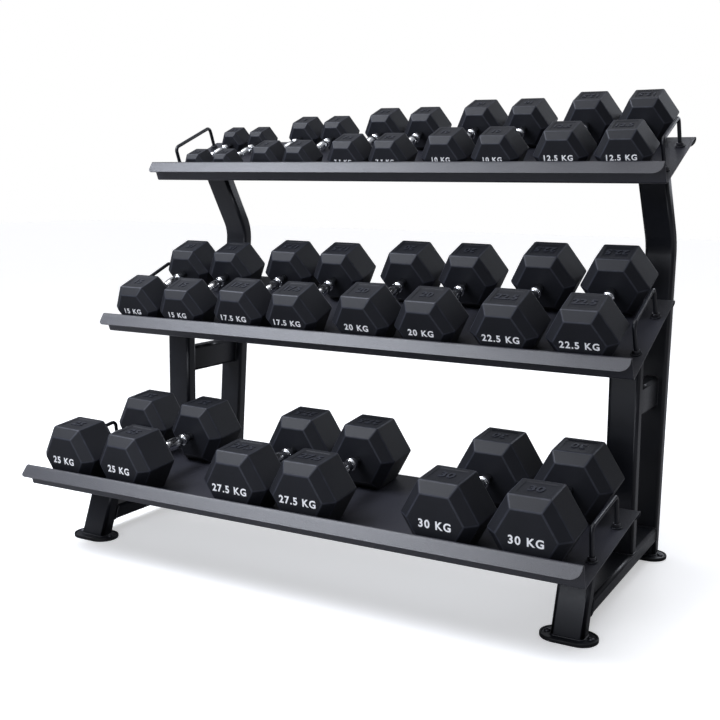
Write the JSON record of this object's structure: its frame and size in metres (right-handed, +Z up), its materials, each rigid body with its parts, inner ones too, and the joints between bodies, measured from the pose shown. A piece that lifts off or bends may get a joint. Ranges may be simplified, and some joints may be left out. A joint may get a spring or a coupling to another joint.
{
  "type": "dumbbell rack",
  "caption": "Tiered steel rack with sloping lipped shelves and rod end guards, loaded with pairs of hexagonal rubber dumbbells that lift off.",
  "frame": {"origin": "on the floor, under the middle of the loaded rack's overall box", "axes": "+X to the right along the shelves seen from the front, the front faces -Y, +Z up"},
  "size_m": [1.5, 0.8742, 1.2119],
  "materials": {
    "powder_coat": "smooth satin black powder coat",
    "textured_coat": "finely textured matt black powder coat",
    "rubber_shoe": "moulded black rubber",
    "rubber_head": "fine-grained black rubber, moulded over the weight",
    "chrome": "bright chrome, knurled at the grip",
    "white_print": "matt white pad print",
    "black_zinc": "black zinc plated fasteners"
  },
  "bodies": {
    "rack": {"left_front_foot_shoe": "rubber_shoe", "left_front_foot_plate": "powder_coat", "left_rear_foot_shoe": "rubber_shoe", "left_rear_foot_plate": "powder_coat", "left_front_leg": "powder_coat", "left_rear_upright": "powder_coat", "left_base_rail": "powder_coat", "left_front_post": "powder_coat", "left_crossmember": "powder_coat", "right_front_foot_shoe": "rubber_shoe", "right_front_foot_plate": "powder_coat", "right_rear_foot_shoe": "rubber_shoe", "right_rear_foot_plate": "powder_coat", "right_front_leg": "powder_coat", "right_rear_upright": "powder_coat", "right_base_rail": "powder_coat", "right_front_post": "powder_coat", "right_crossmember": "powder_coat", "bottom_shelf_tray": "textured_coat", "left_bottom_guard_rod": "powder_coat", "left_bottom_saddle_plate": "powder_coat", "right_bottom_guard_rod": "powder_coat", "right_bottom_saddle_plate": "powder_coat", "middle_shelf_tray": "textured_coat", "left_middle_guard_rod": "powder_coat", "left_middle_saddle_plate": "powder_coat", "right_middle_guard_rod": "powder_coat", "right_middle_saddle_plate": "powder_coat", "top_shelf_tray": "textured_coat", "left_top_guard_rod": "powder_coat", "left_top_saddle_plate": "powder_coat", "right_top_guard_rod": "powder_coat", "right_top_saddle_plate": "powder_coat"},
    "dumbbell_25kg_left": {"dumbbell_25kg_left": "rubber_head"},
    "dumbbell_25kg_right": {"dumbbell_25kg_right": "rubber_head"},
    "dumbbell_27_5kg_left": {"dumbbell_27_5kg_left": "rubber_head"},
    "dumbbell_27_5kg_right": {"dumbbell_27_5kg_right": "rubber_head"},
    "dumbbell_30kg_left": {"dumbbell_30kg_left": "rubber_head"},
    "dumbbell_30kg_right": {"dumbbell_30kg_right": "rubber_head"},
    "dumbbell_15kg_left": {"dumbbell_15kg_left": "rubber_head"},
    "dumbbell_15kg_right": {"dumbbell_15kg_right": "rubber_head"},
    "dumbbell_17_5kg_left": {"dumbbell_17_5kg_left": "rubber_head"},
    "dumbbell_17_5kg_right": {"dumbbell_17_5kg_right": "rubber_head"},
    "dumbbell_20kg_left": {"dumbbell_20kg_left": "rubber_head"},
    "dumbbell_20kg_right": {"dumbbell_20kg_right": "rubber_head"},
    "dumbbell_22_5kg_left": {"dumbbell_22_5kg_left": "rubber_head"},
    "dumbbell_22_5kg_right": {"dumbbell_22_5kg_right": "rubber_head"},
    "dumbbell_2_5kg_left": {"dumbbell_2_5kg_left": "rubber_head"},
    "dumbbell_2_5kg_right": {"dumbbell_2_5kg_right": "rubber_head"},
    "dumbbell_5kg_left": {"dumbbell_5kg_left": "rubber_head"},
    "dumbbell_5kg_right": {"dumbbell_5kg_right": "rubber_head"},
    "dumbbell_7_5kg_left": {"dumbbell_7_5kg_left": "rubber_head"},
    "dumbbell_7_5kg_right": {"dumbbell_7_5kg_right": "rubber_head"},
    "dumbbell_10kg_left": {"dumbbell_10kg_left": "rubber_head"},
    "dumbbell_10kg_right": {"dumbbell_10kg_right": "rubber_head"},
    "dumbbell_12_5kg_left": {"dumbbell_12_5kg_left": "rubber_head"},
    "dumbbell_12_5kg_right": {"dumbbell_12_5kg_right": "rubber_head"}
  },
  "joints": [
    {"name": "dumbbell_25kg_left_lift", "type": "slide", "parent": "rack", "child": "dumbbell_25kg_left", "axis": [0, -0.1201, 0.9928], "range_m": [0, 0.11]},
    {"name": "dumbbell_25kg_right_lift", "type": "slide", "parent": "rack", "child": "dumbbell_25kg_right", "axis": [0, -0.1201, 0.9928], "range_m": [0, 0.11]},
    {"name": "dumbbell_27_5kg_left_lift", "type": "slide", "parent": "rack", "child": "dumbbell_27_5kg_left", "axis": [0, -0.1201, 0.9928], "range_m": [0, 0.11]},
    {"name": "dumbbell_27_5kg_right_lift", "type": "slide", "parent": "rack", "child": "dumbbell_27_5kg_right", "axis": [0, -0.1201, 0.9928], "range_m": [0, 0.11]},
    {"name": "dumbbell_30kg_left_lift", "type": "slide", "parent": "rack", "child": "dumbbell_30kg_left", "axis": [0, -0.1201, 0.9928], "range_m": [0, 0.11]},
    {"name": "dumbbell_30kg_right_lift", "type": "slide", "parent": "rack", "child": "dumbbell_30kg_right", "axis": [0, -0.1201, 0.9928], "range_m": [0, 0.11]},
    {"name": "dumbbell_15kg_left_lift", "type": "slide", "parent": "rack", "child": "dumbbell_15kg_left", "axis": [0, -0.3762, 0.9265], "range_m": [0, 0.11]},
    {"name": "dumbbell_15kg_right_lift", "type": "slide", "parent": "rack", "child": "dumbbell_15kg_right", "axis": [0, -0.3762, 0.9265], "range_m": [0, 0.11]},
    {"name": "dumbbell_17_5kg_left_lift", "type": "slide", "parent": "rack", "child": "dumbbell_17_5kg_left", "axis": [0, -0.3762, 0.9265], "range_m": [0, 0.11]},
    {"name": "dumbbell_17_5kg_right_lift", "type": "slide", "parent": "rack", "child": "dumbbell_17_5kg_right", "axis": [0, -0.3762, 0.9265], "range_m": [0, 0.11]},
    {"name": "dumbbell_20kg_left_lift", "type": "slide", "parent": "rack", "child": "dumbbell_20kg_left", "axis": [0, -0.3762, 0.9265], "range_m": [0, 0.11]},
    {"name": "dumbbell_20kg_right_lift", "type": "slide", "parent": "rack", "child": "dumbbell_20kg_right", "axis": [0, -0.3762, 0.9265], "range_m": [0, 0.11]},
    {"name": "dumbbell_22_5kg_left_lift", "type": "slide", "parent": "rack", "child": "dumbbell_22_5kg_left", "axis": [0, -0.3762, 0.9265], "range_m": [0, 0.11]},
    {"name": "dumbbell_22_5kg_right_lift", "type": "slide", "parent": "rack", "child": "dumbbell_22_5kg_right", "axis": [0, -0.3762, 0.9265], "range_m": [0, 0.11]},
    {"name": "dumbbell_2_5kg_left_lift", "type": "slide", "parent": "rack", "child": "dumbbell_2_5kg_left", "axis": [0, -0.3859, 0.9225], "range_m": [0, 0.15]},
    {"name": "dumbbell_2_5kg_right_lift", "type": "slide", "parent": "rack", "child": "dumbbell_2_5kg_right", "axis": [0, -0.3859, 0.9225], "range_m": [0, 0.15]},
    {"name": "dumbbell_5kg_left_lift", "type": "slide", "parent": "rack", "child": "dumbbell_5kg_left", "axis": [0, -0.3859, 0.9225], "range_m": [0, 0.15]},
    {"name": "dumbbell_5kg_right_lift", "type": "slide", "parent": "rack", "child": "dumbbell_5kg_right", "axis": [0, -0.3859, 0.9225], "range_m": [0, 0.15]},
    {"name": "dumbbell_7_5kg_left_lift", "type": "slide", "parent": "rack", "child": "dumbbell_7_5kg_left", "axis": [0, -0.3859, 0.9225], "range_m": [0, 0.15]},
    {"name": "dumbbell_7_5kg_right_lift", "type": "slide", "parent": "rack", "child": "dumbbell_7_5kg_right", "axis": [0, -0.3859, 0.9225], "range_m": [0, 0.15]},
    {"name": "dumbbell_10kg_left_lift", "type": "slide", "parent": "rack", "child": "dumbbell_10kg_left", "axis": [0, -0.3859, 0.9225], "range_m": [0, 0.15]},
    {"name": "dumbbell_10kg_right_lift", "type": "slide", "parent": "rack", "child": "dumbbell_10kg_right", "axis": [0, -0.3859, 0.9225], "range_m": [0, 0.15]},
    {"name": "dumbbell_12_5kg_left_lift", "type": "slide", "parent": "rack", "child": "dumbbell_12_5kg_left", "axis": [0, -0.3859, 0.9225], "range_m": [0, 0.15]},
    {"name": "dumbbell_12_5kg_right_lift", "type": "slide", "parent": "rack", "child": "dumbbell_12_5kg_right", "axis": [0, -0.3859, 0.9225], "range_m": [0, 0.15]}
  ]
}
